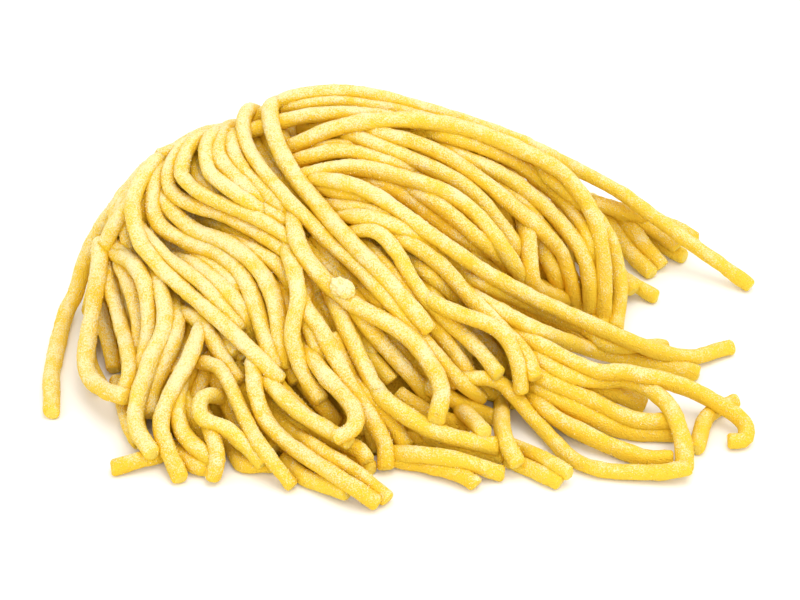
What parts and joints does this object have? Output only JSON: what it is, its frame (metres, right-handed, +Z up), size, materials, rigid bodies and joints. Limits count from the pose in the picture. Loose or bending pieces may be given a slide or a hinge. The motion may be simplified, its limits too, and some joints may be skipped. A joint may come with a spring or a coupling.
{
  "type": "fresh pasta nest",
  "caption": "Loose draped hank of thick fresh spaghetti: a low mound whose strands fan out over its crest and down to cut ends on the board.",
  "frame": {"origin": "middle of the heap's bounding box, on the board it lies on", "axes": "+Z up, +X to the right of the shown side, -Y towards the shown side where the strand ends lie"},
  "size_m": [0.1536, 0.12, 0.0475],
  "materials": {
    "egg_pasta": "dull egg pasta dough dusted with pale semolina"
  },
  "bodies": {
    "root": {"pasta_nest": "egg_pasta"}
  },
  "joints": []
}
